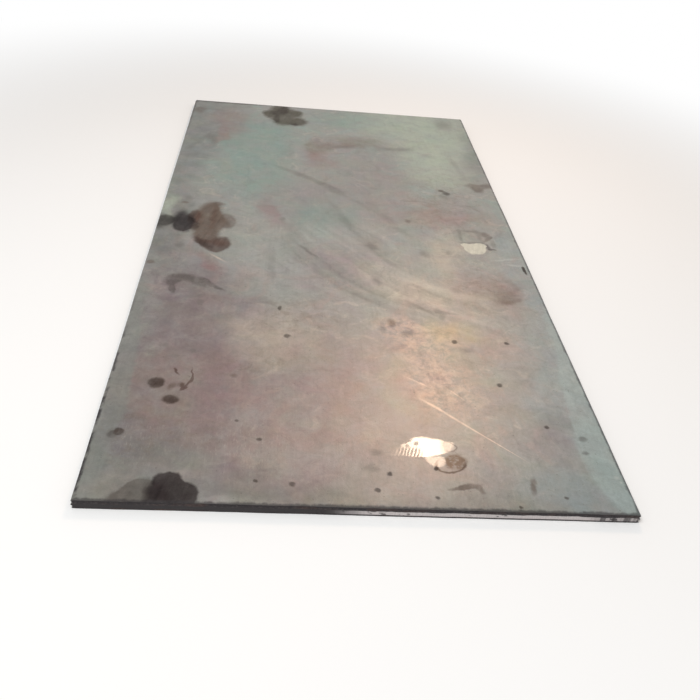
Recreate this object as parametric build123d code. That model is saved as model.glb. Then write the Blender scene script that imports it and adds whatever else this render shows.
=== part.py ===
from build123d import *

import os

# A hot-rolled steel plate, one piece of stock lying flat. All sizes are in millimetres.
# Origin at the middle of the underside, X across the plate, Y along it, Z up.
plate_length = 2500
plate_width = 1250
plate_thickness = 25

# The long sides keep the edge that rolling left: crowned, with rounded corners.
mill_edge_crown = 1.5
mill_corner_radius = 5

# Both ends were cut on a shear. The blade rolls one corner over and burnishes a straight
# land above it. The rest of the thickness breaks away and leans back from the land.
rollover_radius = 2.5
land_height = 8.5
fracture_lean = 2


def rolled_bar():
    # The rolled cross-section, run through the whole length
    side = plate_width / 2
    shoulder = side - mill_edge_crown
    middle = plate_thickness / 2
    with BuildSketch(Plane.XZ) as section:
        with BuildLine():
            Line((-shoulder, 0), (shoulder, 0))
            ThreePointArc((shoulder, 0), (side, middle), (shoulder, plate_thickness))
            Line((shoulder, plate_thickness), (-shoulder, plate_thickness))
            ThreePointArc((-shoulder, plate_thickness), (-side, middle), (-shoulder, 0))
        make_face()
        fillet(section.vertices(), mill_corner_radius)
    return extrude(section.sketch, plate_length / 2, both=True)


def sheared_length():
    # The cut profile seen from the side. The two ends come from the two sides of the same
    # cut, so the far end is the near end turned over: its land is at the top.
    end = plate_length / 2
    arris = (-end + fracture_lean, plate_thickness)
    land_top = (-end, rollover_radius + land_height)
    foot = (-end, 0)
    near_end = [arris, land_top, foot]
    far_end = [(-y, plate_thickness - z) for y, z in near_end]
    with BuildSketch(Plane.YZ) as profile:
        with BuildLine():
            Polyline(*near_end, *far_end, close=True)
        make_face()
        feet = [near_end[-1], far_end[-1]]
        rolled_corners = [profile.vertices().sort_by_distance(place)[0] for place in feet]
        fillet(rolled_corners, rollover_radius)
    return extrude(profile.sketch, plate_width / 2, both=True)


steel_plate = rolled_bar() & sheared_length()

os.makedirs("parts", exist_ok=True)
export_step(steel_plate, "parts/steel_plate.step")
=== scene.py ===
import math

import bmesh
import bpy
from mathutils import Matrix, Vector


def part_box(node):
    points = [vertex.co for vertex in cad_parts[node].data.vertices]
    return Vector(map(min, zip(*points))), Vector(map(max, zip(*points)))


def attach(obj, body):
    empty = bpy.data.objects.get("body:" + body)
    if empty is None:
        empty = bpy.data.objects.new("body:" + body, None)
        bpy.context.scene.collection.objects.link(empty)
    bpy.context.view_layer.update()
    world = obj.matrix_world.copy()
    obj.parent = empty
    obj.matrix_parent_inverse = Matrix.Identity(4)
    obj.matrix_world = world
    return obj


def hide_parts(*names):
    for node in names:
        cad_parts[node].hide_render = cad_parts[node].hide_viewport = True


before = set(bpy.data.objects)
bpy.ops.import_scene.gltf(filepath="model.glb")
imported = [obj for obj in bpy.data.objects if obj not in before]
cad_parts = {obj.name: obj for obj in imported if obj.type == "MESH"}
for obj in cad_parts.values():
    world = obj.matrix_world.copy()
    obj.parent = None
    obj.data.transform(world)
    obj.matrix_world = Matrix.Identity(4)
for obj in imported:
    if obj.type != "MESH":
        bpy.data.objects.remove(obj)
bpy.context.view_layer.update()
print("frame loaded:", sorted(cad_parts))


# shader wiring

class Wire:                   # one value in a shader: sums on it add Math nodes
    def __init__(self, bench, socket):
        self.bench = bench
        self.socket = socket

    def sum(self, operation, first, second):
        return self.bench.node("ShaderNodeMath", {"operation": operation}, {0: first, 1: second})

    def __add__(self, other):
        return self.sum("ADD", self, other)

    def __radd__(self, other):
        return self.sum("ADD", other, self)

    def __sub__(self, other):
        return self.sum("SUBTRACT", self, other)

    def __rsub__(self, other):
        return self.sum("SUBTRACT", other, self)

    def __mul__(self, other):
        return self.sum("MULTIPLY", self, other)

    def __rmul__(self, other):
        return self.sum("MULTIPLY", other, self)

    def __abs__(self):
        return self.sum("ABSOLUTE", self, 0)

    def __or__(self, other):  # the stronger of two masks
        return self.sum("MAXIMUM", self, other)

    def twin(self, output):   # another output of the same node
        return Wire(self.bench, self.socket.node.outputs[output])


class Bench:                  # the nodes of one material, or of the sky
    def __init__(self, owner, dims="3D"):
        owner.use_nodes = True
        self.tree = owner.node_tree
        self.tree.nodes.clear()
        self.dims = dims      # a flat face has its noise in 2D, which is quicker

    def node(self, kind, settings, inputs, output=0):
        made = self.tree.nodes.new(kind)
        for name, value in settings.items():
            setattr(made, name, value)
        for name, value in inputs.items():
            if isinstance(value, Wire):
                self.tree.links.new(value.socket, made.inputs[name])
            else:
                made.inputs[name].default_value = value
        return Wire(self, made.outputs[output]) if made.outputs else None

    def place(self):          # metres in the plate's own frame
        return self.node("ShaderNodeTexCoord", {}, {}, "Object")

    def part(self, vector, axis):
        return self.node("ShaderNodeSeparateXYZ", {}, {0: vector}, axis)

    def vector(self, operation, first, second):
        return self.node("ShaderNodeVectorMath", {"operation": operation}, {0: first, 1: second})

    def scaled(self, vector, amount):
        return self.node("ShaderNodeVectorMath", {"operation": "SCALE"}, {0: vector, "Scale": amount})

    def stretched(self, vector, scale, turn=0):
        turned = {"Vector": vector, "Rotation": (0, 0, math.radians(turn))}
        straight = self.node("ShaderNodeMapping", {"vector_type": "POINT"}, turned)
        return self.vector("MULTIPLY", straight, scale)

    def noise(self, vector, scale, detail=3, rough=0.55, output="Fac", apart=0, swirl=0):
        if apart:             # reads another stretch of the same noise
            vector = self.vector("ADD", vector, (apart, apart / 3, 0))
        values = {"Vector": vector, "Scale": scale, "Detail": detail, "Roughness": rough}
        values["Distortion"] = swirl
        return self.node("ShaderNodeTexNoise", {"noise_dimensions": self.dims}, values, output)

    def streaks(self, vector, stretch, detail, rough=0.55, turn=0):   # noise drawn out along an axis
        return self.noise(self.stretched(vector, stretch, turn), 1, detail, rough)

    def swings(self, colour):                # a noise's colour, about nought
        return self.vector("SUBTRACT", colour, (0.5, 0.5, 0.5))

    def warped(self, vector, steps):         # each step: noise scale, reach in m, detail
        for scale, reach, detail in steps:
            swing = self.swings(self.noise(vector, scale, detail, output="Color"))
            vector = self.vector("ADD", vector, self.scaled(swing, 2 * reach))
        return vector

    def ease(self, value, low, high):        # 0 at low, 1 at high, smooth between
        limits = {"Value": value, "From Min": low, "From Max": high}
        return self.node("ShaderNodeMapRange", {"interpolation_type": "SMOOTHSTEP"}, limits)

    def mix(self, amount, first, second):
        settings = {"data_type": "RGBA", "clamp_factor": True}
        return self.node("ShaderNodeMix", settings, {0: amount, 6: first, 7: second}, 2)

    def cone(self, vector, x, y, halfWidth, halfLength, turn=0):   # 1 in a mark's middle, 0.5 on its rim
        values = {"Vector": vector, "Location": (x, y, 0), "Rotation": (0, 0, math.radians(turn))}
        values["Scale"] = (2 * halfWidth, 2 * halfLength, 1)
        local = self.node("ShaderNodeMapping", {"vector_type": "TEXTURE"}, values)
        return self.node("ShaderNodeTexGradient", {"gradient_type": "SPHERICAL"}, {"Vector": local}, "Fac")

    def pools(self, vector, marks, low, high, rag=0):   # marks that run into each other
        total = rag
        for mark in marks.values():
            total = total + self.cone(vector, *mark)
        return self.ease(total, low, high)

    def spread(self, vector, look, rag=0):   # the marks of one table
        return self.pools(vector, look["marks"], *look["edge"], rag)

    def coated(self, colour, amount, look):  # the colour of one table laid on
        return self.mix(amount, colour, paint(*look["colour"]))

    def rims(self, vector, marks, thick):    # only the outlines of the marks
        total = 0
        for mark in marks.values():
            total = self.ease(abs(self.cone(vector, *mark) - 0.5), thick, 0) + total
        return total

    def seen(self):           # 1 for what the camera, a mirror or glass looks at
        camera = self.node("ShaderNodeLightPath", {}, {}, "Is Camera Ray")
        return camera | camera.twin("Is Glossy Ray") | camera.twin("Is Transmission Ray")

    def steel(self, values, height, depth):
        bump = {"Height": height, "Distance": depth, "Strength": 1}
        values["Normal"] = self.node("ShaderNodeBump", {}, bump)
        shader = self.node("ShaderNodeBsdfPrincipled", {}, values)
        self.node("ShaderNodeOutputMaterial", {}, {"Surface": shader})


def paint(red, green, blue):                 # a colour as seen on screen, 0 to 255
    def linear(part):
        share = part / 255
        return share / 12.92 if share <= 0.04045 else ((share + 0.055) / 1.055) ** 2.4
    return (linear(red), linear(green), linear(blue), 1)


# camera, floor and light

cameraView = {
    "place": (-0.2138, -2.4495, 1.3089),     # m, at eye height in front of the near end
    "turn": (54.235, -5.288, -2.881),        # degrees
    "lens": 41.18, "sensor": 36,             # mm
}


def addCamera(view):
    bpy.ops.object.camera_add(location=view["place"], rotation=[math.radians(a) for a in view["turn"]])
    camera = bpy.context.object
    camera.data.sensor_width = view["sensor"]
    camera.data.lens = view["lens"]
    bpy.context.scene.camera = camera


studio = {
    "floorSize": 60,
    "floorDrop": 0.0004,                     # keeps the floor off the plate's underside
    "floorColour": (251, 251, 250), "floorRough": 0.9, "floorShine": 0.1,
    "fadeStart": 1.3,                        # m from the middle: the floor turns plain white
    "fadeEnd": 3,
    "skyLevel": 0.44,                        # what the sky gives to matt surfaces
    "keyPlace": (-1.2, -2.2, 4.2),
    "keySize": 3,
    "keyPower": 122,
    "lampSpot": (0.125, -1.01, 0.025),       # where the lamp mirrors on the plate
    "lampFar": 3.4,                          # from that spot
    "lampSize": 0.6,
    "lampPower": 17,
    "lampColour": (255, 219, 188),
}


def addFloor(look):
    bpy.ops.mesh.primitive_plane_add(size=look["floorSize"], location=(0, 0, -look["floorDrop"]))
    floor = bpy.context.object
    floor.name = "floor"
    material = bpy.data.materials.new("paleFloor")
    bench = Bench(material)
    matt = {"Base Color": paint(*look["floorColour"]), "Roughness": look["floorRough"]}
    matt["Specular IOR Level"] = look["floorShine"]
    pale = bench.node("ShaderNodeBsdfPrincipled", {}, matt)
    white = bench.node("ShaderNodeEmission", {}, {"Color": (1, 1, 1, 1), "Strength": 1})
    away = bench.node("ShaderNodeVectorMath", {"operation": "LENGTH"}, {0: bench.place()}, "Value")
    fade = bench.ease(away, look["fadeStart"], look["fadeEnd"]) * bench.seen()
    ground = bench.node("ShaderNodeMixShader", {}, {0: fade, 1: pale, 2: white})
    bench.node("ShaderNodeOutputMaterial", {}, {"Surface": ground})
    floor.data.materials.append(material)


def addSky(look):
    world = bpy.data.worlds.new("studioSky")
    bpy.context.scene.world = world
    bench = Bench(world)
    seen = bench.seen()
    level = seen + (1 - seen) * look["skyLevel"]
    sky = bench.node("ShaderNodeBackground", {}, {"Color": (1, 1, 1, 1), "Strength": level})
    bench.node("ShaderNodeOutputWorld", {}, {"Surface": sky})


def addLamp(name, place, aim, size, power, colour):
    bpy.ops.object.light_add(type="AREA", location=place)
    lamp = bpy.context.object
    lamp.name = name
    lamp.data.shape = "DISK"
    lamp.data.size = size
    lamp.data.energy = power
    lamp.data.color = paint(*colour)[:3]
    gaze = aim - lamp.location
    lamp.rotation_euler = gaze.to_track_quat("-Z", "Y").to_euler()


def addLights(look):
    fromCamera = bpy.context.scene.camera.location
    spot = fromCamera.copy()
    spot.xyz = look["lampSpot"]
    bounce = (spot - fromCamera).normalized()
    bounce.z = -bounce.z                     # the mirror of the camera's own line
    middle = spot * 0
    addLamp("softKey", look["keyPlace"], middle, look["keySize"], look["keyPower"], (255, 255, 255))
    place = spot + bounce * look["lampFar"]
    addLamp("warmLamp", place, spot, look["lampSize"], look["lampPower"], look["lampColour"])


bpy.ops.object.select_all(action="DESELECT")
scene = bpy.context.scene
scene.view_settings.view_transform = "Standard"
addCamera(cameraView)
addFloor(studio)
addSky(studio)
addLights(studio)
print("camera, floor and lights set")


# the plate's shape

plateShape = {
    "columns": 260,                          # faces across the width
    "lengthSteps": (10, 24),                 # faces along the length, cut in two goes
    "crown": 0.0015,                         # m, the long sides' bulge
    "corner": 0.005,                         # and their rounded corners
    "rollover": 0.0025,                      # the sheared ends, from the blade's side
    "land": 0.0085,
    "lean": 0.002,
    # heights at which the ends and sides have points
    "rows": (0, 0.0004, 0.0012, 0.0025, 0.0042, 0.0075, 0.011,
             0.0145, 0.0178, 0.0208, 0.0232, 0.0246, 0.025),
    "smoothTo": 40,                          # degrees between faces that still shade as one
}


def pick(piece, kind, test):                 # selects what passes the test, by its place
    bpy.ops.mesh.select_mode(type=kind)
    bpy.ops.mesh.select_all(action="DESELECT")
    mesh = bmesh.from_edit_mesh(piece.data)
    found = {"VERT": mesh.verts, "EDGE": mesh.edges, "FACE": mesh.faces}[kind]
    for item in found:
        if test(item):
            item.select_set(True)
    mesh.select_flush_mode()
    bmesh.update_edit_mesh(piece.data)


def sideInset(shape, thick, z):              # how far the rolled side lies inside the full width
    fromEdge = min(z, thick - z)
    rise = 1 - abs(2 * z / thick - 1)        # 0 at the corners, 1 at mid height
    inset = shape["crown"] * (1 - rise) ** 2
    if fromEdge < shape["corner"]:
        short = shape["corner"] - fromEdge
        inset += shape["corner"] - math.sqrt(shape["corner"] ** 2 - short ** 2)
    return inset


def endInset(shape, thick, z):               # how far the sheared end lies inside the full length
    if z < shape["rollover"]:
        short = shape["rollover"] - z
        return shape["rollover"] - math.sqrt(shape["rollover"] ** 2 - short ** 2)
    landTop = shape["rollover"] + shape["land"]
    return max(0, (z - landTop) / (thick - landTop)) * shape["lean"]


def makePlate(shape, low, high):
    width, length, thick = high - low
    rows = shape["rows"]
    near = 1e-5                              # m, counts as the same place
    sameRow = 1e-3                           # m, takes in a whole row of the grid
    clear = 10                               # m, rows that are spread wait this far up
    longEdge = length / 20                   # only edges along the length are longer
    bpy.ops.object.select_all(action="DESELECT")
    # the rolled section as a standing grid at the near end
    bpy.ops.mesh.primitive_grid_add(x_subdivisions=shape["columns"], y_subdivisions=len(rows) - 1, size=1)
    plate = bpy.context.object
    plate.name = "hotRolledPlate"
    bpy.ops.object.mode_set(mode="EDIT")
    bpy.ops.transform.resize(value=(width - 2 * shape["corner"], 1, 1))
    bpy.ops.transform.rotate(value=math.radians(-90), orient_axis="X", center_override=(0, 0, 0))
    bpy.ops.transform.translate(value=(0, low.y, 0))
    mesh = bmesh.from_edit_mesh(plate.data)
    levels = sorted({round(v.co.z, 4) for v in mesh.verts})
    for level, z in zip(levels, rows):       # spreads the rows over the thickness
        pick(plate, "VERT", lambda v: abs(v.co.z - level) < sameRow)
        bpy.ops.transform.translate(value=(0, 0, z + clear - level))
    bpy.ops.mesh.select_all(action="SELECT")
    bpy.ops.transform.translate(value=(0, 0, -clear))
    for z in rows:                           # the outer columns take the rolled side's form
        for side in (-1, 1):
            edge = side * (width / 2 - shape["corner"])
            pick(plate, "VERT", lambda v: abs(v.co.z - z) < near and abs(v.co.x - edge) < near)
            reach = shape["corner"] - sideInset(shape, thick, z)
            bpy.ops.transform.translate(value=(side * reach, 0, 0))
    # pulled out to the full length, as rolling does
    bpy.ops.mesh.select_all(action="SELECT")
    bpy.ops.mesh.extrude_region_move(TRANSFORM_OT_translate={"value": (0, length, 0)})
    bpy.ops.mesh.select_all(action="SELECT")
    bpy.ops.mesh.normals_make_consistent(inside=False)
    # each end's rows are pushed back to the shear's profile, the far end turned over
    for z in rows:
        pick(plate, "VERT", lambda v: abs(v.co.y - low.y) < near and abs(v.co.z - z) < near)
        bpy.ops.transform.translate(value=(0, endInset(shape, thick, z), 0))
        pick(plate, "VERT", lambda v: abs(v.co.y - high.y) < near and abs(v.co.z - z) < near)
        bpy.ops.transform.translate(value=(0, -endInset(shape, thick, thick - z), 0))
    for steps in shape["lengthSteps"]:
        pick(plate, "EDGE", lambda e: abs(e.verts[0].co.y - e.verts[1].co.y) > longEdge)
        bpy.ops.mesh.subdivide(number_cuts=steps - 1)
    # the underside lies on the floor, so it is one flat face
    pick(plate, "FACE", lambda f: f.normal.z < -0.99)
    bpy.ops.mesh.dissolve_faces()
    bpy.ops.mesh.select_all(action="SELECT")
    bpy.ops.mesh.normals_make_consistent(inside=False)
    bpy.ops.object.mode_set(mode="OBJECT")
    return plate


plateRelief = {
    # lumps along one axis of the plate: their size and their whole swing in m
    "rollWave": {"axis": "Z", "lump": 0.42, "swing": 0.0014, "where": "height"},
    "shearWave": {"axis": "Y", "lump": 0.1, "swing": 0.002, "where": "ends"},
    "breakGrain": {"axis": "Y", "lump": 0.007, "swing": 0.0016, "where": "breaks"},
    "burr": {"axis": "Z", "lump": 0.018, "swing": 0.001, "where": "arris"},
    "millWave": {"axis": "X", "lump": 0.16, "swing": 0.0018, "where": "sides"},
    "millNicks": {"axis": "X", "lump": 0.013, "swing": 0.0008, "where": "sides"},
}


def reliefPlaces(shape, high):               # how strongly each kind of relief takes hold at a point
    thick = high.z
    landTop = shape["rollover"] + shape["land"]
    endZone = high.y - 2 * shape["lean"]
    sideZone = high.x - 1.5 * shape["corner"]

    def fromBlade(point):                    # height above the side that the blade came from
        return point.z if point.y < 0 else thick - point.z

    def onEnd(point):
        return abs(point.y) > endZone

    return {
        "height": lambda p: p.z / thick,
        "ends": onEnd,
        "breaks": lambda p: onEnd(p) and min(1, max(0, fromBlade(p) - landTop) / landTop),
        "arris": lambda p: onEnd(p) and p.z > thick - 1e-4,
        "sides": lambda p: abs(p.x) > sideZone,
    }


def roughen(piece, reliefs, places):
    bpy.ops.object.select_all(action="DESELECT")
    piece.select_set(True)
    bpy.context.view_layer.objects.active = piece
    for name, relief in reliefs.items():
        strength = places[relief["where"]]
        group = piece.vertex_groups.new(name=name)
        for vertex in piece.data.vertices:
            hold = strength(vertex.co)
            if hold:
                group.add([vertex.index], hold, "REPLACE")
        lumps = bpy.data.textures.new(name, "CLOUDS")
        lumps.noise_scale = relief["lump"]
        lumps.noise_depth = 2
        bpy.ops.object.modifier_add(type="DISPLACE")
        push = piece.modifiers[-1]
        push.texture = lumps
        push.texture_coords = "LOCAL"
        push.direction = relief["axis"]
        push.strength = relief["swing"]
        push.mid_level = 0.5
        push.vertex_group = name
        bpy.ops.object.modifier_apply(modifier=push.name)
    piece.vertex_groups.clear()


# the top face: a mark is x, y, half width, half length in metres, and its turn in degrees
# edge, and what ends in At: where a thing begins and where it is full, a mark's rim being 0.5

topFace = {
    "grey": (147, 146, 141),
    "metal": 0.5,
    "rough": 0.4,
    "shine": 0.02,                           # specular level: the oxide skin is dull
    "oilDull": 0.9,                          # how much of the metal's mirror the oil hides
    "bumpDepth": 0.0004,                     # m
    "patches": {"scale": 15, "detail": 6, "rough": 0.68},
    "patchAt": (0.3, 0.74),                  # worn patches, where tints and stains are thinner
    "hues": {"scale": 9, "detail": 4, "rough": 0.55, "apart": 4, "swirl": 0.4},
    "hueSwing": 0.034,                       # small patches that lean to red, green or blue
    "dotColour": (88, 80, 75), "dotAmount": 0.4,
    "dots": ((26, 0.35, 0.07), (70, 0.3, 0.14)),   # cells a metre, share with a dot, its reach
}

fineGrain = {                                # light and dark over all of the face
    "mottle": {"scale": 24, "detail": 6, "rough": 0.68, "swirl": 0.8},
    "grit": {"scale": 95, "detail": 4, "rough": 0.7, "apart": 6},
    "pores": {"scale": 300, "detail": 2},
    "grain": {"stretch": (130, 7, 1), "detail": 3, "rough": 0.6},
    "streak": {"stretch": (75, 11, 1), "detail": 3, "rough": 0.6, "turn": 12},
    "closeAt": (0.7, -0.7),                  # m along the length: stronger towards the near end
    "farMottle": 0.62,
    "inShade": {"mottle": 0.44, "grain": 0.13, "pores": 0.16, "grit": 0.22, "streak": 0.55},
    "inRough": {"mottle": 0.14, "grain": 0.08, "oil": 0.05},
    "inBump": {"mottle": 0.5, "grain": 0.3, "pores": 0.4, "dots": 0.3},
}

# clouds of oxide tint over the face; the greenish one over the far half is a painted reflection of green
# surroundings
oxideAndReflectionClouds = {
    # where: the stretch of the length over which the cloud comes in
    "blush": {
        "colour": (166, 142, 134), "scale": 6.5, "amount": 0.34,
        "edge": (0.47, 0.7), "where": (1.4, -0.2),
    },
    # painted reflection: a greenish cloud coming in over the far half, as if green surroundings were
    # mirrored there
    "farGreenReflection": {
        "colour": (137, 154, 147), "scale": 5.5, "amount": 0.45,
        "edge": (0.45, 0.68), "where": (-0.4, 0.3),
    },
    "smoke": {
        "colour": (118, 114, 111), "scale": 13, "amount": 0.4,
        "edge": (0.52, 0.76), "where": (-9, -8),
    },
    "pale": {
        "colour": (180, 172, 160), "scale": 17, "amount": 0.4,
        "edge": (0.53, 0.76), "where": (-9, -8),
    },
}

tintDrift = ((3, 0.09, 3), (12, 0.03, 3))    # lets the tints' outlines wander
tintPatchy = 0.5
tintEdge = (0.08, 0.92)                      # unless a tint has its own

topTints = {
    "dusk": {
        "colour": (110, 97, 98), "amount": 0.68,
        "marks": {
            "leftSide": (-0.5, -0.54, 0.15, 0.42), "nearLeft": (-0.46, -0.97, 0.15, 0.2),
            "nearMiddle": (-0.2, -1.2, 0.2, 0.06),
        },
    },
    "slate": {
        "colour": (107, 109, 105), "amount": 0.66,
        "marks": {
            "farLeft": (-0.53, 1.07, 0.15, 0.26), "leftRim": (-0.59, 0.48, 0.08, 0.42),
            "leftMiddle": (-0.58, -0.02, 0.06, 0.15), "nearCorner": (-0.56, -1.1, 0.11, 0.18),
            "nearRight": (0.5, -1.2, 0.2, 0.09), "nearRim": (0.05, -1.25, 0.6, 0.03),
            "farRight": (0.605, 0.86, 0.045, 0.24),
        },
    },
    "ash": {
        "colour": (139, 133, 130), "amount": 0.62,
        "marks": {
            "middle": (0.12, 0.5, 0.16, 0.26), "leftMiddle": (-0.16, 0.26, 0.14, 0.12),
            "nearMiddle": (0.03, 0.13, 0.12, 0.14), "underWipe": (0.03, -0.13, 0.08, 0.09),
        },
    },
    "umber": {
        "colour": (122, 110, 99), "amount": 0.7,
        "marks": {
            "farMiddle": (0.1, 0.89, 0.09, 0.055, -15), "farStreak": (0.03, 0.81, 0.09, 0.028, 6),
            "farSide": (-0.06, 0.78, 0.05, 0.08),
        },
    },
    "teal": {
        "colour": (122, 146, 137), "amount": 0.64,
        "marks": {
            "farMiddle": (0.07, 1.13, 0.16, 0.09), "farShoulder": (-0.25, 0.95, 0.12, 0.08),
            "farField": (-0.33, 0.8, 0.12, 0.1), "leftBlue": (-0.33, 0.5, 0.12, 0.23),
            "nearRight": (0.595, -1.1, 0.035, 0.14), "middle": (-0.06, 0.1, 0.09, 0.12),
        },
    },
    "olive": {
        "colour": (167, 176, 159), "amount": 0.8,
        "marks": {
            "farRight": (0.38, 1.12, 0.25, 0.22), "rightMiddle": (0.42, 0.66, 0.13, 0.2),
            "leftEdge": (-0.605, 0.16, 0.025, 0.08),
        },
    },
    "rose": {
        "colour": (140, 119, 114), "amount": 0.62,
        "marks": {
            "farLeft": (-0.45, 1.04, 0.07, 0.13), "middle": (-0.06, 0.66, 0.045, 0.09),
            "redLine": (-0.492, 0.84, 0.018, 0.08, 8), "pinkSpot": (-0.242, 0.16, 0.032, 0.09, 4),
            "rightWarm": (0.36, 0.2, 0.14, 0.09), "nearField": (-0.13, -0.86, 0.28, 0.3),
            "nearLeft": (-0.34, -0.9, 0.16, 0.14), "underFan": (-0.412, -0.205, 0.022, 0.036),
            "nearRight": (0.45, -0.32, 0.1, 0.1),
        },
    },
    "mist": {
        "colour": (141, 151, 151), "amount": 0.62,
        "marks": {
            "rightMargin": (0.602, -0.52, 0.032, 0.5), "nearRight": (0.56, -1.05, 0.07, 0.2),
            "nearMargin": (0.44, -1.17, 0.14, 0.07), "rightField": (0.54, -0.75, 0.06, 0.24),
            "rightBlue": (0.575, -0.14, 0.055, 0.14),
        },
    },
    "duskWedge": {
        "colour": (122, 109, 109), "amount": 0.42, "edge": (0.3, 0.7),
        "marks": {"upper": (-0.42, -0.42, 0.12, 0.16, 20), "lower": (-0.38, -0.62, 0.13, 0.13)},
    },
    "driedRing": {
        "colour": (140, 139, 132), "amount": 0.36, "edge": (0.25, 0.75),
        "marks": {
            "nearStain": (-0.445, -1.185, 0.11, 0.08), "nearWedge": (-0.54, -1.235, 0.06, 0.05, 30),
        },
    },
    "redSpot": {
        "colour": (137, 106, 105), "amount": 0.6,
        "marks": {
            "underFan": (-0.412, -0.245, 0.026, 0.024), "pinkSpot": (-0.236, 0.13, 0.02, 0.055, 4),
        },
    },
    "yellowed": {
        "colour": (172, 161, 128), "amount": 0.6,
        "marks": {"overGlow": (0.28, -0.57, 0.07, 0.045)},
    },
    # a warm tone over the lamp's glow: painted warmth of that glow, put into the colour
    "glowWarmth": {
        "colour": (142, 121, 106), "amount": 0.3,
        "marks": {"glow": (0.27, -0.76, 0.14, 0.26)},
    },
    "mauveBed": {
        "colour": (147, 133, 137), "amount": 0.62,
        "marks": {"patch": (-0.12, -0.31, 0.06, 0.06), "strip": (0.01, -0.22, 0.1, 0.03, -38)},
    },
    "rightDusk": {
        "colour": (128, 119, 117), "amount": 0.6, "edge": (0.2, 0.8),
        "marks": {"besideTide": (0.495, -1, 0.06, 0.1)},
    },
    "sand": {
        "colour": (182, 171, 156), "amount": 0.55,
        "marks": {
            "right": (0.36, -0.06, 0.055, 0.13), "arcs": (0.24, -0.34, 0.16, 0.09, -38),
            "nearLeft": (-0.23, -0.62, 0.11, 0.11),
        },
    },
    "cool": {
        "colour": (153, 156, 151), "amount": 0.62,
        "marks": {"middleLeft": (-0.24, -0.1, 0.11, 0.24, 8), "middle": (0.02, 0, 0.09, 0.08)},
    },
}

glowSheenCrumbs = {                                    # golden crumbs where the lamp's glow is strongest: painted sheen of that glow, with darker pits among them
    "colour": (208, 182, 160), "amount": 0.27, "dark": 0.12,
    "crumbs": {"scale": 38, "detail": 5, "rough": 0.7, "swirl": 0.3},
    "edge": (0.02, 1.2), "sheenAt": (0.4, 0.66), "pitAt": (0.48, 0.32),
    "marks": {
        "upper": (0.235, -0.58, 0.075, 0.07), "middle": (0.205, -0.72, 0.075, 0.11),
        "lower": (0.25, -0.87, 0.085, 0.08), "left": (0.12, -0.54, 0.05, 0.05),
    },
}

stainDrift = ((18, 0.008, 2), (75, 0.003, 2))   # frays the stains' outlines
stainUneven = {"scale": 60, "detail": 3, "rough": 0.6}

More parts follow.
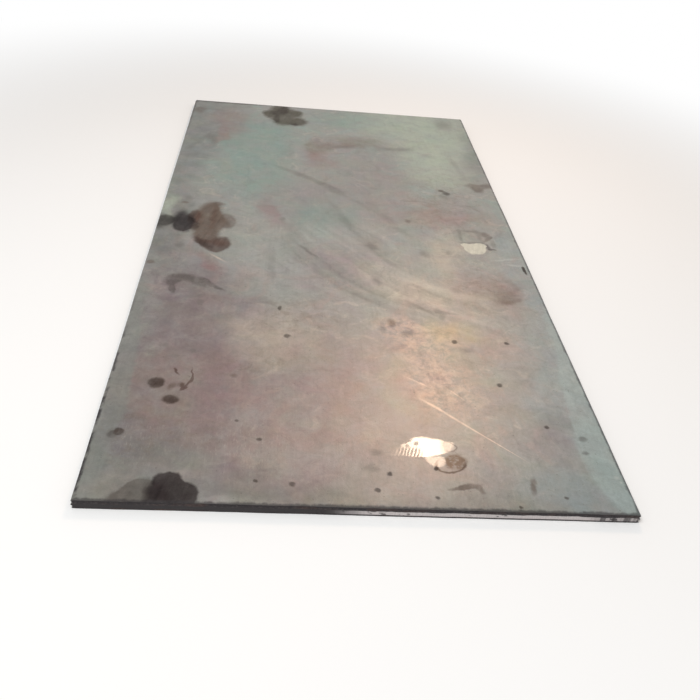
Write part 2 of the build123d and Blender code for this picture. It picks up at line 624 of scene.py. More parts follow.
topStains = {
    # dull: how far it hides the metal, 1 where it isn't given
    "rightTide": {
        "colour": (151, 161, 158), "amount": 0.64, "dull": 0,
        "edge": (0.43, 0.57), "rag": 0.16, "patchy": 0.25,
        "marks": {
            "upper": (0.665, -0.62, 0.075, 0.3), "middle": (0.66, -0.94, 0.085, 0.16),
            "lower": (0.655, -1.15, 0.095, 0.15),
        },
    },
    "leftTide": {
        "colour": (126, 130, 124), "amount": 0.56, "dull": 0,
        "edge": (0.4, 0.62), "rag": 0.2, "patchy": 0.25,
        "marks": {
            "upper": (-0.65, -0.52, 0.06, 0.25), "middle": (-0.645, -0.82, 0.06, 0.14),
            "lower": (-0.64, -1.08, 0.075, 0.16),
        },
    },
    "dullFront": {
        "colour": (145, 136, 130), "amount": 0.34, "dull": 1.3,
        "edge": (0.1, 0.9), "rag": 0.3, "patchy": 0.4,
        "marks": {"besideFilm": (0.05, -1.13, 0.17, 0.1), "underFilm": (0.22, -1.18, 0.15, 0.06)},
    },
    "softDrag": {
        "colour": (104, 100, 95), "amount": 0.5, "dull": 0.3,
        "edge": (0.12, 0.9), "rag": 0.3, "patchy": 0.4,
        "marks": {
            "longDrag": (-0.135, 0.48, 0.014, 0.11, 52), "longDragEnd": (-0.02, 0.365, 0.018, 0.05, 46),
            "wipedLine": (-0.115, -0.122, 0.006, 0.046, 40),
            "olivePuff": (0.098, -0.062, 0.018, 0.026, 20), "puffPair": (0.275, -0.098, 0.016, 0.02),
            "puffRight": (0.36, -0.08, 0.01, 0.014), "oldSmear": (0.26, 0.815, 0.08, 0.018, 8),
            "oldSmearLeft": (0.04, 0.8, 0.045, 0.016), "farSmoke": (0.52, 1.16, 0.04, 0.06),
            "curlHigh": (-0.542, 0.222, 0.01, 0.02, 10), "farDiagonal": (-0.556, 0.765, 0.015, 0.1, -24),
            "farDiagonalRight": (-0.503, 0.785, 0.014, 0.055, 8),
            "wipeBits": (0.272, -0.448, 0.01, 0.014, 20),
            "wipeBitsLow": (0.283, -0.48, 0.006, 0.016, -20),
            "crumbRight": (0.165, -0.575, 0.022, 0.012, 20), "crumbLow": (0.095, -0.56, 0.01, 0.016),
            "crumbFar": (0.325, -0.645, 0.016, 0.012), "edgePairRing": (-0.577, -1.045, 0.016, 0.018),
            "faintSpot": (-0.535, -0.13, 0.012, 0.016), "creamArch": (0.458, 0.09, 0.036, 0.008, -4),
            "creamArchRight": (0.49, 0.05, 0.008, 0.04, 4), "creamSill": (0.452, 0.005, 0.036, 0.005, 3),
            "creamFar": (0.531, 0, 0.009, 0.022), "creamArchLeft": (0.424, 0.05, 0.006, 0.045),
            "pinkDot": (-0.204, 0.098, 0.012, 0.014), "hookUnder": (-0.445, -0.432, 0.026, 0.008, 15),
            "hookDot": (-0.435, -0.468, 0.008, 0.018), "curlAbove": (-0.507, -0.686, 0.014, 0.008, -20),
            "dotAbove": (-0.428, -0.703, 0.007, 0.009), "lowDot": (-0.418, -0.926, 0.007, 0.009),
            "strokeLow": (0.225, -0.44, 0.05, 0.006, -42), "strokeSide": (0.3, -0.456, 0.03, 0.006, -8),
            "smudgeLow": (0.098, -0.29, 0.012, 0.026, 25), "nearSmudge": (0.02, -1.127, 0.018, 0.012),
            "nearSmudgeHigh": (0.035, -1.073, 0.014, 0.01),
        },
    },
    "faintStroke": {
        "colour": (104, 101, 97), "amount": 0.27, "dull": 0.3,
        "edge": (0.06, 0.95), "rag": 0.5, "patchy": 0.6,
        "marks": {
            "wipeLine": (0.04, 0.045, 0.011, 0.12, 26), "innerLine": (0.185, 0.12, 0.014, 0.13, 25),
            "greenLine": (-0.234, -0.19, 0.012, 0.11, 2), "greenDot": (-0.228, -0.29, 0.01, 0.014),
            "greenDash": (-0.187, -0.346, 0.018, 0.006), "underTail": (-0.545, -0.07, 0.012, 0.03),
            "underTailLow": (-0.535, -0.128, 0.012, 0.016), "aboveFan": (-0.43, 0.255, 0.016, 0.02),
            "curlTail": (-0.52, 0.152, 0.008, 0.028, 24), "leftPatch": (-0.17, 0.02, 0.03, 0.06, 10),
            "thirdLine": (-0.01, 0.2, 0.012, 0.08, 20), "longDragTip": (0.07, 0.27, 0.01, 0.07, 38),
            "rightStreak": (0.508, 0.66, 0.012, 0.11, 8),
            "leftSmudge": (-0.577, -1.072, 0.006, 0.014, 6),
            "leftSmudgeNext": (-0.566, -1.078, 0.005, 0.014, 10),
            "leftSmudgeHigh": (-0.52, -0.985, 0.016, 0.012),
            "strokeUpper": (0.16, -0.34, 0.07, 0.008, -42),
            "strokeMiddle": (0.06, -0.4, 0.09, 0.008, -34), "strokeFar": (0.25, -0.33, 0.06, 0.008, -36),
        },
    },
    "farBlotch": {
        "colour": (76, 71, 59), "amount": 0.89, "edge": (0.18, 0.98), "rag": 0.42, "patchy": 0.18,
        "marks": {
            "crown": (-0.228, 1.22, 0.034, 0.06), "core": (-0.245, 1.155, 0.04, 0.05),
            "middle": (-0.184, 1.13, 0.038, 0.05), "lower": (-0.238, 1.075, 0.032, 0.052),
            "foot": (-0.185, 1.04, 0.04, 0.034), "toe": (-0.132, 1.064, 0.024, 0.032),
            "leftLobe": (-0.292, 1.137, 0.018, 0.032), "shoulder": (-0.158, 1.172, 0.02, 0.026),
        },
    },
    "fanOil": {
        "colour": (91, 74, 62), "amount": 0.82, "edge": (0.12, 0.98), "rag": 0.26, "patchy": 0.15,
        "marks": {
            "top": (-0.452, 0.15, 0.03, 0.046, -12), "stem": (-0.47, 0.065, 0.034, 0.07),
            "edge": (-0.43, 0.06, 0.014, 0.055, 6), "right": (-0.404, 0.05, 0.02, 0.04, 14),
            "neck": (-0.458, -0.028, 0.032, 0.046), "neckLow": (-0.45, -0.078, 0.03, 0.034),
        },
    },
    "brownOil": {
        "colour": (77, 58, 51), "amount": 0.8, "edge": (0.22, 0.86), "rag": 0.22, "patchy": 0.15,
        "marks": {
            "blob": (-0.416, -0.106, 0.03, 0.034, -16), "blobRight": (-0.392, -0.098, 0.016, 0.03),
            "blobBand": (-0.458, -0.108, 0.05, 0.016, -50),
            "blobTip": (-0.414, -0.138, 0.012, 0.018, 20), "redSide": (-0.508, 0.05, 0.014, 0.046),
            "redTop": (-0.504, 0.092, 0.015, 0.03),
        },
    },
    "fanRust": {
        "colour": (94, 70, 60), "amount": 0.55, "edge": (0.1, 0.95), "rag": 0.3, "patchy": 0.3,
        "marks": {
            "bar": (-0.44, 0.08, 0.012, 0.08), "root": (-0.492, 0.075, 0.014, 0.05),
            "blobSide": (-0.405, -0.098, 0.022, 0.024),
        },
    },
    "softOil": {
        "colour": (56, 53, 51), "amount": 0.88, "edge": (0.1, 0.76), "rag": 0.2, "patchy": 0.15,
        "marks": {"tailRoot": (-0.624, 0.028, 0.03, 0.044), "tailNeck": (-0.59, 0.04, 0.02, 0.024)},
    },
    "wetTail": {
        "colour": (86, 79, 74), "amount": 0.78, "edge": (0.36, 0.58), "rag": 0.15, "patchy": 0.25,
        "marks": {
            "wedge": (-0.515, -1.242, 0.042, 0.026, 26), "wedgeRoot": (-0.478, -1.222, 0.03, 0.04),
        },
    },
    "tailOil": {
        "colour": (42, 36, 37), "amount": 0.93, "edge": (0.18, 0.76), "rag": 0.16, "patchy": 0.1,
        "marks": {
            "blob": (-0.55, 0.052, 0.026, 0.062), "side": (-0.52, 0.018, 0.015, 0.042),
            "foot": (-0.543, 0, 0.016, 0.02), "nearSide": (-0.45, -1.228, 0.022, 0.034),
        },
    },
    "nearOil": {
        "colour": (50, 43, 43), "amount": 0.94, "edge": (0.34, 0.66), "rag": 0.16, "patchy": 0.12,
        "marks": {
            "lobeLeft": (-0.447, -1.18, 0.014, 0.018), "lobeRight": (-0.419, -1.179, 0.014, 0.017),
            "body": (-0.412, -1.228, 0.034, 0.033), "shoulder": (-0.392, -1.226, 0.022, 0.024),
        },
    },
    "darkOil": {
        "colour": (50, 40, 36), "amount": 0.66, "edge": (0.2, 0.85), "rag": 0.32, "patchy": 0.3,
        "marks": {
            "blotchCore": (-0.247, 1.155, 0.028, 0.036), "blotchCrown": (-0.215, 1.218, 0.02, 0.045),
            "blotchLow": (-0.246, 1.065, 0.014, 0.034), "blotchFoot": (-0.165, 1.024, 0.014, 0.014),
            "blobFoot": (-0.458, -0.112, 0.046, 0.016, -50), "redSide": (-0.512, 0.07, 0.01, 0.036, -10),
            "stemLeft": (-0.498, 0.01, 0.01, 0.03),
        },
    },
    "brownSpot": {
        "colour": (60, 48, 42), "amount": 0.88, "edge": (0.36, 0.64), "rag": 0.18, "patchy": 0.3,
        "marks": {
            "upperOval": (-0.505, -0.845, 0.019, 0.018), "filmKnot": (0.174, -1.121, 0.006, 0.007),
            "lowerOval": (-0.461, -0.909, 0.019, 0.017), "edgePair": (-0.563, -1.034, 0.014, 0.013, 15),
            "rightRim": (0.602, -0.168, 0.006, 0.03, 4),
        },
    },
    "thinLine": {
        "colour": (80, 60, 54), "amount": 0.8, "edge": (0.16, 0.7), "rag": 0.4, "patchy": 0.2,
        "marks": {
            "squiggleTop": (-0.462, -0.792, 0.003, 0.014, 24),
            "squiggleRight": (-0.42, -0.806, 0.0026, 0.024, 4),
            "squiggleBend": (-0.425, -0.843, 0.0028, 0.022, -12),
            "squiggleLeft": (-0.437, -0.853, 0.0045, 0.012, 10),
            "squiggleFoot": (-0.432, -0.866, 0.003, 0.01, -50),
        },
    },
    "paleBrown": {
        "colour": (96, 83, 74), "amount": 0.7, "dull": 0.6,
        "edge": (0.24, 0.8), "rag": 0.36, "patchy": 0.45,
        "marks": {
            "between": (-0.462, -0.858, 0.01, 0.015, -30), "betweenNext": (-0.438, -0.85, 0.007, 0.012),
            "curlHead": (-0.552, 0.182, 0.013, 0.01), "farCorner": (-0.588, 1.13, 0.026, 0.046, -20),
            "rightSmear": (0.545, 0.485, 0.03, 0.022), "rightSmearTail": (0.562, 0.45, 0.018, 0.026),
            "rightSmearEnd": (0.608, 0.495, 0.022, 0.022),
            "fanFinger": (-0.432, 0.186, 0.024, 0.014, -8), "fanWing": (-0.41, 0.076, 0.028, 0.048, 14),
            "fanWingTip": (-0.39, 0.052, 0.02, 0.032), "creamCorner": (0.512, 0.068, 0.015, 0.02),
            "creamBand": (0.516, 0.034, 0.007, 0.026, -40),
            "nearWedge": (0.248, -1.175, 0.022, 0.008, 8),
            "nearWedgeTail": (0.215, -1.184, 0.024, 0.005, 12),
            "nearWedgeTip": (0.268, -1.188, 0.006, 0.01, 25),
            "nearDash": (0.394, -1.168, 0.008, 0.026, -14), "leftRim": (-0.606, -0.245, 0.012, 0.011),
            "redSpot": (-0.315, -0.803, 0.009, 0.009), "farSmudge": (0.245, 0.142, 0.012, 0.014),
            "crumbRing": (0.122, -0.523, 0.011, 0.018),
        },
    },
    "rustBloom": {
        "colour": (104, 89, 79), "amount": 0.64, "dull": 0.5,
        "edge": (0.05, 1), "rag": 0.9, "patchy": 0.75,
        "marks": {
            "middle": (0.512, -0.325, 0.04, 0.034), "top": (0.545, -0.268, 0.012, 0.026, 25),
            "low": (0.495, -0.378, 0.036, 0.014, 20),
        },
    },
    "greyHookAndRimShade": {
        "colour": (78, 72, 70), "amount": 0.66, "edge": (0.24, 0.76), "rag": 0.42, "patchy": 0.45,
        "marks": {
            # the two rim marks here are painted shade: a dark line along the far and the left arris
            "farRimShade": (-0.47, 1.254, 0.19, 0.02), "leftFarRimShade": (-0.626, 1.08, 0.01, 0.24),
            "ringSpot": (-0.577, -1.044, 0.012, 0.013), "tideUpper": (0.561, -1.001, 0.011, 0.009),
            "tideLower": (0.553, -1.051, 0.008, 0.007), "creamSide": (0.508, -0.016, 0.007, 0.02),
            "creamFoot": (0.52, -0.041, 0.01, 0.006), "hookTop": (-0.49, -0.33, 0.042, 0.02, -6),
            "hookLeft": (-0.53, -0.362, 0.017, 0.028), "hookFoot": (-0.521, -0.405, 0.006, 0.02, 14),
            "hookRight": (-0.438, -0.358, 0.02, 0.018, -20),
            "hookTail": (-0.394, -0.37, 0.03, 0.008, -40),
        },
    },
    "speck": {
        "colour": (64, 54, 48), "amount": 0.72, "edge": (0.25, 0.7), "rag": 0.14, "patchy": 0.2,
        "marks": {
            "rightDash": (0.404, 0.42, 0.011, 0.009), "rightDashEnd": (0.424, 0.398, 0.014, 0.012),
            "atMiddleHigh": (-0.2, -0.473, 0.007, 0.01), "atMiddleLow": (-0.178, -0.617, 0.008, 0.009),
            "atOverGlow": (0.298, -0.603, 0.008, 0.008), "atRightHigh": (0.452, -0.602, 0.007, 0.007),
            "atRightMiddle": (0.39, -0.797, 0.006, 0.007), "atRightLow": (0.478, -0.962, 0.006, 0.006),
            "atLeftLow": (-0.237, -1.043, 0.005, 0.005), "atLeftHigh": (-0.295, -0.98, 0.005, 0.006),
            "atNearLeft": (-0.24, -1.178, 0.006, 0.005), "atNearLeftNext": (-0.16, -1.187, 0.006, 0.006),
            "atNearMiddle": (0.03, -1.197, 0.006, 0.007),
            "atNearMiddleHigh": (0.063, -1.142, 0.006, 0.005),
            "atNearMiddleRight": (0.163, -1.217, 0.007, 0.005),
            "atNearRight": (0.35, -1.237, 0.005, 0.004), "atNearRightNext": (0.46, -1.202, 0.006, 0.004),
        },
    },
    "paleFleck": {
        "colour": (186, 188, 182), "amount": 0.4, "dull": 0.5,
        "edge": (0.1, 0.9), "rag": 0.3, "patchy": 0.3,
        "marks": {
            "fleckHigh": (0.606, -1.135, 0.006, 0.005), "fleckLow": (0.613, -1.152, 0.004, 0.005),
            "streakHigh": (0.56, -0.105, 0.04, 0.006, 8), "streakLow": (0.575, -0.14, 0.03, 0.005, 4),
        },
    },
    "cream": {
        "colour": (206, 202, 186), "amount": 0.88, "dull": 0.9,
        "edge": (0.36, 0.66), "rag": 0.12, "patchy": 0.2,
        "marks": {
            "top": (0.457, -0.02, 0.034, 0.016), "leftCorner": (0.426, -0.012, 0.01, 0.008),
            "rightCorner": (0.49, -0.012, 0.01, 0.009), "left": (0.438, -0.034, 0.012, 0.016),
            "right": (0.478, -0.036, 0.014, 0.022), "bowl": (0.456, -0.058, 0.028, 0.02),
        },
    },
}

# scratch lines in the lamp's warm near-white: real scratches, with their glint painted into the colour
glintingScratches = {
    "colour": (240, 214, 192), "amount": 0.52, "edge": (0.12, 1.25), "patchy": 0.5,
    "marks": {
        "start": (0.19, -0.889, 0.026, 0.0036, -40), "bright": (0.232, -0.929, 0.05, 0.0036, -44),
        "fading": (0.292, -0.988, 0.056, 0.0022, -44), "last": (0.352, -1.045, 0.05, 0.0012, -44),
        "tailLine": (-0.405, -0.198, 0.03, 0.004, -42), "upperLine": (0.17, -0.8, 0.034, 0.003, -35),
        "scuff": (0.262, -0.842, 0.026, 0.003, -50),
    },
}

wipes = {                                    # arcs left by a rag swung round, lighter and darker by turns
    "x": 0.85, "y": 0.55, "bands": 17, "along": 5, "swing": 0.66, "edge": (0.05, 1.1),
    "drift": ((3, 0.04, 2),),
    "marks": {
        "top": (0.06, 0.08, 0.14, 0.16, 12), "upper": (-0.04, -0.16, 0.14, 0.14, -45),
        "middle": (0.12, -0.33, 0.25, 0.13, -38), "right": (0.33, -0.45, 0.16, 0.09, -15),
    },
}

scuffs = {                                   # short pale rubs along the length
    "colour": (190, 182, 172), "amount": 0.17, "rubAt": (0.56, 0.74), "edge": (0.1, 0.9),
    "rubs": {"stretch": (210, 48, 1), "detail": 2, "rough": 0.6},
    "marks": {
        "nearLeft": (-0.26, -1.06, 0.12, 0.09), "nearCorner": (-0.52, -1.06, 0.06, 0.08),
        "nearRight": (0.3, -1.16, 0.14, 0.06), "glow": (0.24, -0.78, 0.1, 0.16),
    },
}

dirt = {                                     # brown dust that has dried on in crumbs
    "colour": (118, 106, 94), "amount": 0.32, "dryAt": (0.46, 0.66), "edge": (0.08, 0.92),
    "crumbs": {"scale": 34, "detail": 5, "rough": 0.7, "apart": 8, "swirl": 0.4},
    "marks": {
        "rightMiddle": (0.4, 0.28, 0.13, 0.24), "rightNear": (0.44, -0.3, 0.1, 0.12),
        "middleLeft": (-0.16, -0.52, 0.14, 0.1), "nearMiddle": (-0.28, -0.76, 0.16, 0.05, 12),
        "nearLeft": (-0.42, -1.02, 0.14, 0.05, -6), "leftMargin": (-0.55, -1.02, 0.09, 0.13),
    },
}

rims = {                                     # grime along the edges of the face, darkened further as painted shade of the rounded edges and arrises
    "colour": (62, 59, 60),
    "right": 0.613, "left": 0.613, "near": 1.24, "far": 1.239,   # m from the middle to its inner side
    "width": 0.008, "ragged": 0.014,
    "rag": {"stretch": (44, 22, 1), "detail": 5, "rough": 0.7},
    "breaks": {"scale": 17, "detail": 3, "apart": 5}, "breakAt": (0.4, 0.58),
    "leftAt": (-0.25, -0.95),                # m along the left side, where it comes in
    "farAt": (-0.15, -0.4),                  # m across the far end, where it comes in
    "amount": 0.75, "farAmount": 0.7,
}

wetPatch = {                                 # a film of oil that mirrors the lamp
    "edge": (0.4, 0.6), "rag": 0.14, "gloss": 0.05, "mirror": 1.62,
    "full": {
        "head": (0.153, -1.043, 0.033, 0.028), "right": (0.198, -1.048, 0.016, 0.018),
        "foot": (0.15, -1.067, 0.032, 0.012, 4), "point": (0.113, -1.064, 0.03, 0.015, 16),
        "tip": (0.078, -1.076, 0.026, 0.006, 8),
    },
    "thin": {                                # thinner, so less bright
        "lobe": (0.176, -1.094, 0.026, 0.02, -38), "beside": (0.217, -1.045, 0.02, 0.016),
    },
    "thinness": 0.42,
    "holes": {
        "upper": (0.135, -1.039, 0.005, 0.008, -20), "lower": (0.114, -1.049, 0.004, 0.005),
        "gap": (0.215, -1.071, 0.042, 0.004, 14),
    },
    "holeAt": (0.2, 0.7), "holeDepth": 0.93,
    "drift": ((60, 0.004, 2),),
    "uneven": {"scale": 120, "detail": 2},
    # combed lines at the left end, over a stretch of the width and of the length
    "fray": 0.95, "combScale": 40, "combTurn": 16, "combWander": 2, "combAt": (0.16, 0.62),
    "combAcross": (0.156, 0.132), "combAlong": (-1.046, -1.062),
    "leftFade": (0.06, 0.152), "rightFade": (0.218, 0.184),
    # brown grime under the lower lobe, and dark rings round it
    "grime": (108, 90, 76), "grimeAmount": 0.85, "poolAt": (0.3, 0.6),
    "crumbs": {"scale": 70, "detail": 3, "rough": 0.6, "apart": 2}, "crumbAt": (0.15, 0.6),
    "ring": (82, 66, 56), "ringThick": 0.09, "ringAmount": 0.8, "sideAmount": 0.7,
    "ringStretch": (-1.08, -1.112), "sideStretch": (0.205, 0.225),
    "pool": {"oval": (0.222, -1.098, 0.026, 0.022, 22)},
    "poolRim": {"oval": (0.21, -1.106, 0.038, 0.026, 22)},
    "sideRim": {"side": (0.212, -1.046, 0.021, 0.015, -14)},
}


def oxideAndReflectionColour(bench, flat, y, colour):
    for index, cloud in enumerate(oxideAndReflectionClouds.values()):
        drift = bench.noise(flat, cloud["scale"], detail=6, rough=0.62, apart=3 + 7 * index, swirl=0.9)
        amount = bench.ease(drift, *cloud["edge"]) * bench.ease(y, *cloud["where"])
        colour = bench.coated(colour, amount * cloud["amount"], cloud)
    return colour


def tinted(bench, flat, colour, patches):
    drifted = bench.warped(flat, tintDrift)
    for tint in topTints.values():
        mask = bench.pools(drifted, tint["marks"], *tint.get("edge", tintEdge))
        amount = mask * tint["amount"] * (1 - patches * tintPatchy)
        colour = bench.coated(colour, amount, tint)
    return colour


def sheenedByGlow(bench, flat, colour):
    crumbs = bench.noise(flat, **glowSheenCrumbs["crumbs"])
    field = bench.spread(flat, glowSheenCrumbs)
    # the gold crumbs are painted sheen of the lamp's glow; the pits darken the shade
    paintedSheen = bench.ease(crumbs, *glowSheenCrumbs["sheenAt"]) * field * glowSheenCrumbs["amount"]
    colour = bench.coated(colour, paintedSheen, glowSheenCrumbs)
    return colour, bench.ease(crumbs, *glowSheenCrumbs["pitAt"]) * field * glowSheenCrumbs["dark"]


def stained(bench, flat, colour, patches):
    ragged = bench.warped(flat, stainDrift)
    uneven = bench.noise(flat, **stainUneven) - 0.5
    oil = 0
    for stain in topStains.values():
        mask = bench.spread(ragged, stain, uneven * stain["rag"])
        amount = mask * stain["amount"] * (1 - patches * stain["patchy"])
        colour = bench.coated(colour, amount, stain)
        oil = amount * stain.get("dull", 1) + oil
    return colour, oil


def rubbed(bench, flat, colour):
    rubs = bench.ease(bench.streaks(flat, **scuffs["rubs"]), *scuffs["rubAt"])
    amount = rubs * bench.spread(flat, scuffs)
    colour = bench.coated(colour, amount * scuffs["amount"], scuffs)
    crumbs = bench.ease(bench.noise(flat, **dirt["crumbs"]), *dirt["dryAt"])
    amount = crumbs * bench.spread(flat, dirt)
    return bench.coated(colour, amount * dirt["amount"], dirt)


def scoredWithGlints(bench, flat, colour, patches):
    lines = bench.spread(flat, glintingScratches)
    amount = lines * glintingScratches["amount"] * (1 - patches * glintingScratches["patchy"])
    return bench.coated(colour, amount, glintingScratches)


# dark rims on the face's edges: dark oxide, and painted shade where the edges turn down
def rimShadeAndGrime(bench, x, y, flat, colour):
    def edge(away, side):
        return bench.ease(away, rims[side], rims[side] + rims["width"])

    ragged = (bench.streaks(flat, **rims["rag"]) - 0.5) * rims["ragged"]
    broken = bench.ease(bench.noise(flat, **rims["breaks"]), *rims["breakAt"])
    right = edge(x + ragged, "right") * rims["amount"]
    left = edge(ragged - x, "left") * broken * bench.ease(y, *rims["leftAt"])
    near = edge(ragged - y, "near") * rims["amount"]
    far = edge(y + ragged, "far") * bench.ease(x, *rims["farAt"]) * rims["farAmount"]
    return bench.coated(colour, right | left | near | far, rims)


def wetFilm(bench, flat, x, y, colour, patch):
    ragged = bench.warped(flat, patch["drift"])
    uneven = (bench.noise(flat, **patch["uneven"]) - 0.5) * patch["rag"]
    crumbs = bench.ease(bench.noise(flat, **patch["crumbs"]), *patch["crumbAt"])
    pool = bench.pools(ragged, patch["pool"], *patch["poolAt"], uneven) * crumbs
    colour = bench.mix(pool * patch["grimeAmount"], colour, paint(*patch["grime"]))
    low = bench.rims(ragged, patch["poolRim"], patch["ringThick"]) * bench.ease(y, *patch["ringStretch"])
    side = bench.rims(ragged, patch["sideRim"], patch["ringThick"]) * bench.ease(x, *patch["sideStretch"])
    rings = (low | side * patch["sideAmount"]) * patch["ringAmount"]
    colour = bench.mix(rings, colour, paint(*patch["ring"]))
    turned = bench.stretched(flat, (1, 1, 1), patch["combTurn"])
    waves = {"Vector": turned, "Scale": patch["combScale"], "Distortion": patch["combWander"]}
    comb = bench.ease(bench.node("ShaderNodeTexWave", {}, waves, 1), *patch["combAt"])
    fray = bench.ease(x, *patch["combAcross"]) * comb * bench.ease(y, *patch["combAlong"])
    thin = bench.pools(ragged, patch["thin"], *patch["edge"], uneven) * patch["thinness"]
    full = bench.pools(ragged, patch["full"], *patch["edge"], uneven)
    full = full * bench.ease(x, *patch["leftFade"]) * bench.ease(x, *patch["rightFade"])
    holes = bench.pools(ragged, patch["holes"], *patch["holeAt"])
    film = (full | thin) * (1 - fray * patch["fray"])
    return colour, film * (1 - holes * patch["holeDepth"])


def speckled(bench, flat, scale, share, reach):   # small round spots in some cells of a random grid
    cells = {"Vector": flat, "Scale": scale}
    away = bench.node("ShaderNodeTexVoronoi", {"voronoi_dimensions": "2D"}, cells, "Distance")
    chance = bench.part(away.twin("Color"), "X")
    return bench.ease((chance - (1 - share)) * (reach / share) - away, 0, reach * 0.6)


def wiped(bench, flat):
    curved = bench.warped(flat, wipes["drift"])
    around = bench.vector("SUBTRACT", curved, (wipes["x"], wipes["y"], 0))
    away = bench.node("ShaderNodeVectorMath", {"operation": "LENGTH"}, {0: around}, "Value")
    angle = bench.node("ShaderNodeTexGradient", {"gradient_type": "RADIAL"}, {"Vector": around}, "Fac")
    arcs = {"X": away * wipes["bands"], "Y": angle * wipes["along"]}
    swung = bench.noise(bench.node("ShaderNodeCombineXYZ", {}, arcs), 1, detail=2, rough=0.5) - 0.5
    return swung * bench.spread(flat, wipes) * wipes["swing"]


def topSteel(look, fine):
    material = bpy.data.materials.new("topMillFace")
    bench = Bench(material, "2D")
    flat = bench.place()
    x, y = bench.part(flat, "X"), bench.part(flat, "Y")
    patches = bench.ease(bench.noise(flat, **look["patches"]), *look["patchAt"])
    colour = oxideAndReflectionColour(bench, flat, y, paint(*look["grey"]))
    colour = tinted(bench, flat, colour, patches)
    hues = bench.swings(bench.noise(flat, output="Color", **look["hues"]))
    colour = bench.vector("ADD", colour, bench.scaled(hues, look["hueSwing"]))
    colour, pits = sheenedByGlow(bench, flat, colour)
    colour = rubbed(bench, flat, colour)
    colour, oil = stained(bench, flat, colour, patches)
    colour = scoredWithGlints(bench, flat, colour, patches)
    colour, film = wetFilm(bench, flat, x, y, colour, wetPatch)
    large, small = look["dots"]
    dots = speckled(bench, flat, *large) | speckled(bench, flat, *small)
    colour = bench.mix(dots * look["dotAmount"], colour, paint(*look["dotColour"]))
    colour = rimShadeAndGrime(bench, x, y, flat, colour)
    close = bench.ease(y, *fine["closeAt"])
    nearer = fine["farMottle"] + close * (1 - fine["farMottle"])
    mottle = (bench.noise(flat, **fine["mottle"]) - 0.5) * nearer
    grit = (bench.noise(flat, **fine["grit"]) - 0.5) * close
    grain = bench.streaks(flat, **fine["grain"]) - 0.5
    streak = bench.streaks(flat, **fine["streak"]) - 0.5
    pores = bench.noise(flat, **fine["pores"]) - 0.5
    share = fine["inShade"]
    shade = 1 + wiped(bench, flat) + mottle * share["mottle"] + grain * share["grain"]
    shade = shade + pores * share["pores"] + grit * share["grit"] + streak * oil * share["streak"] - pits
    share = fine["inRough"]
    rough = look["rough"] + mottle * share["mottle"] + grain * share["grain"] - oil * share["oil"]
    share = fine["inBump"]
    height = grain * share["grain"] + pores * share["pores"] + mottle * share["mottle"]
    values = {"Base Color": bench.scaled(colour, shade), "Roughness": rough}
    values["Metallic"] = look["metal"] * (1 - oil * look["oilDull"])
    values["Specular IOR Level"] = look["shine"]
    values["Coat Weight"] = film
    values["Coat Roughness"] = wetPatch["gloss"]
    values["Coat IOR"] = wetPatch["mirror"]
    bench.steel(values, height - dots * share["dots"], look["bumpDepth"])
    return material


# the sheared ends: a burnished land on the blade's side, a dark torn zone beyond it, and a dark band
# between the land and the blade's side painted as a shadow line

shearedEnd = {
    "torn": (44, 40, 42),
    "tornPale": (74, 68, 68),
    "rust": (88, 66, 58), "rustAmount": 0.55,
    "land": (196, 189, 188),
    "landDim": (54, 50, 51),
    "landAboveShadowLine": 0.0042, "landTo": 0.0145,    # m from the blade's side; the dark below the land is a painted shadow line
    "lowerEdge": 0.0008, "upperEdge": 0.001,   # how softly it begins and ends
    "wander": 0.006, "sway": 8,              # m, the swing of its upper edge, and more along the end
    "brightAt": (-0.09, 0.02),               # across the near end: dull on the left, bright on the right
    "brokenAt": (0.5, 0.53),                 # and in bits towards the right corner
    "farBright": 0.5,                        # the far end's land is half as bright
    "cornerDim": 0.25, "bitDim": 0.55, "chipDim": 0.8,
    "paleAt": (0.42, 0.72), "rustAt": (0.52, 0.72), "bitsAt": (0.42, 0.6), "chipsAt": (0.6, 0.66),
    "rough": 0.72, "landRough": 0.34, "gritRough": 0.15,
    "metal": 0.3, "landMetal": 0.4,
    "scoreShade": 0.5, "scoreBump": 0.3,
    "bumpDepth": 0.0006,
}

endNoise = {                                 # drawn out along the end, or up it
    "swing": {"stretch": (16, 1, 1), "detail": 4, "rough": 0.65},
    "scores": {"stretch": (700, 1, 25), "detail": 3, "rough": 0.6},
    "grit": {"stretch": (160, 1, 260), "detail": 4, "rough": 0.65},
    "drift": {"stretch": (11, 1, 40), "detail": 4, "rough": 0.6},
    "bits": {"stretch": (105, 1, 1), "detail": 2},
    "chips": {"stretch": (30, 1, 60), "detail": 3},
}


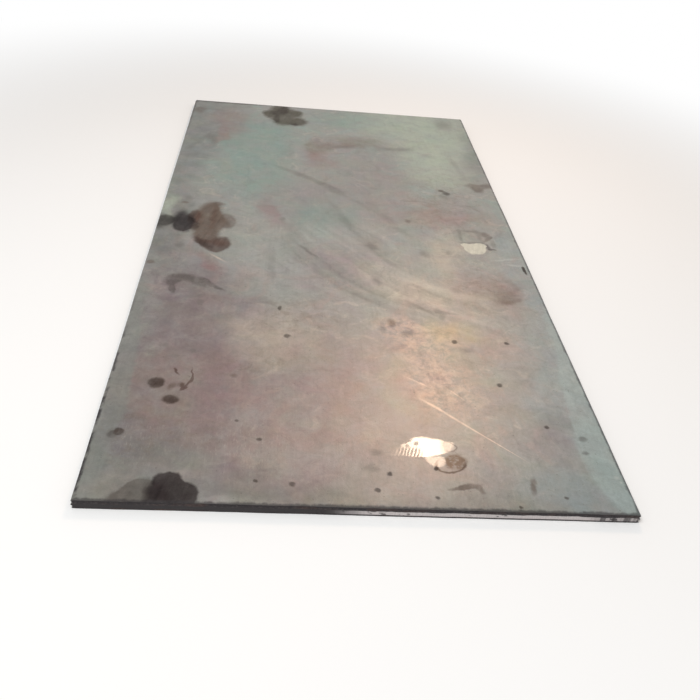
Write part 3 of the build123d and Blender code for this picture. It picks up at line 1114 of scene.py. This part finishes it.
def shearedSteel(look, thick):
    material = bpy.data.materials.new("shearedEnd")
    bench = Bench(material)
    place = bench.place()
    x, y, z = (bench.part(place, axis) for axis in "XYZ")
    noises = {name: bench.streaks(place, **recipe) for name, recipe in endNoise.items()}
    farEnd = bench.ease(y, -0.1, 0.1)        # 0 on the near end, 1 on the far one
    height = z + farEnd * (thick - 2 * z)    # from the blade's side on both ends
    swing = (noises["swing"] - 0.5) * look["wander"]
    scores, grit = noises["scores"], noises["grit"]
    colour = bench.mix(bench.ease(grit, *look["paleAt"]), paint(*look["torn"]), paint(*look["tornPale"]))
    rust = bench.ease(noises["drift"], *look["rustAt"]) * look["rustAmount"]
    colour = bench.mix(rust, colour, paint(*look["rust"]))
    start, end = look["landAboveShadowLine"], look["landTo"]
    # below the land the end keeps its dark colour: a painted shadow line on the blade's side
    rise = bench.ease(height, start - look["lowerEdge"], start + look["lowerEdge"])
    land = rise * bench.ease(height + swing, end + look["upperEdge"], end - look["upperEdge"])
    bright = bench.ease(x + swing * look["sway"], *look["brightAt"]) | farEnd * look["farBright"]
    bits = bench.ease(noises["bits"], *look["bitsAt"])
    corner = bench.ease(x, *look["brokenAt"])
    chips = bench.ease(noises["chips"], *look["chipsAt"])
    bright = bright * (1 - corner * (look["cornerDim"] + bits * look["bitDim"]))
    bright = bright * (1 - chips * look["chipDim"])
    plain = bench.mix(bright, paint(*look["landDim"]), paint(*look["land"]))
    plain = bench.scaled(plain, 1 + (scores - 0.5) * look["scoreShade"])
    shiny = land * bright
    rough = look["rough"] - shiny * look["landRough"] + (grit - 0.5) * look["gritRough"]
    values = {"Base Color": bench.mix(land, colour, plain), "Roughness": rough}
    values["Metallic"] = look["metal"] + shiny * look["landMetal"]
    bench.steel(values, grit * (1 - land) + scores * land * look["scoreBump"], look["bumpDepth"])
    return material


# the long sides as the mill left them, and the plain underside

millSide = {
    "oxide": (84, 82, 81),
    "other": (128, 124, 120),                # worn paler
    "rust": (112, 84, 68),
    "streaks": {"stretch": (40, 5, 60), "detail": 5, "rough": 0.62},
    "bumpDepth": 0.0006,
}

underside = {
    "oxide": (116, 114, 111),
    "other": (90, 88, 86),                   # darker where it lay
    "rust": (126, 102, 86),
    "streaks": {"stretch": (7, 3, 1), "detail": 5, "rough": 0.62},
    "bumpDepth": 0.0004,
}

millScale = {                                # what the sides and the underside share
    "flakes": {"scale": 95, "detail": 4, "rough": 0.65}, "flakeShade": 0.5, "flakeRough": 0.2,
    "bloom": {"scale": 22, "detail": 4, "rough": 0.6, "apart": 9}, "rustAmount": 0.6,
    "otherAt": (0.42, 0.68), "rustAt": (0.54, 0.72),
    "rough": 0.58, "metal": 0.35,
}


def scaleSteel(name, look, skin):            # mill scale: dark oxide, with rust coming through
    material = bpy.data.materials.new(name)
    bench = Bench(material)
    place = bench.place()
    drift = bench.streaks(place, **look["streaks"])
    flakes = bench.noise(place, **skin["flakes"])
    rust = bench.ease(bench.noise(place, **skin["bloom"]), *skin["rustAt"]) * skin["rustAmount"]
    patches = bench.ease(drift, *skin["otherAt"])
    colour = bench.mix(patches, paint(*look["oxide"]), paint(*look["other"]))
    colour = bench.mix(rust, colour, paint(*look["rust"]))
    colour = bench.scaled(colour, 1 + (flakes - 0.5) * skin["flakeShade"])
    rough = skin["rough"] + (flakes - 0.5) * skin["flakeRough"]
    values = {"Base Color": colour, "Metallic": skin["metal"], "Roughness": rough}
    bench.steel(values, flakes, look["bumpDepth"])
    return material


def dress(piece, finishes):                  # each finish goes on the faces that pass its test
    bpy.ops.object.select_all(action="DESELECT")
    piece.select_set(True)
    bpy.context.view_layer.objects.active = piece
    bpy.ops.object.mode_set(mode="EDIT")
    for slot, (material, test) in enumerate(finishes):
        piece.data.materials.append(material)
        pick(piece, "FACE", test)
        piece.active_material_index = slot
        bpy.ops.object.material_slot_assign()
    bpy.ops.object.mode_set(mode="OBJECT")


low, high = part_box("steel_plate")
plate = makePlate(plateShape, low, high)
print("plate shaped:", len(plate.data.vertices), "points")
dress(plate, (
    (scaleSteel("millSide", millSide, millScale), lambda f: True),
    (scaleSteel("underside", underside, millScale), lambda f: f.normal.z < -0.8),
    (shearedSteel(shearedEnd, high.z), lambda f: abs(f.normal.y) > 0.5),
    (topSteel(topFace, fineGrain), lambda f: f.normal.z > 0.8),
))
roughen(plate, plateRelief, reliefPlaces(plateShape, high))
bpy.ops.object.shade_smooth_by_angle(angle=math.radians(plateShape["smoothTo"]))
print("plate dressed")
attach(plate, "root")
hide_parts("steel_plate")
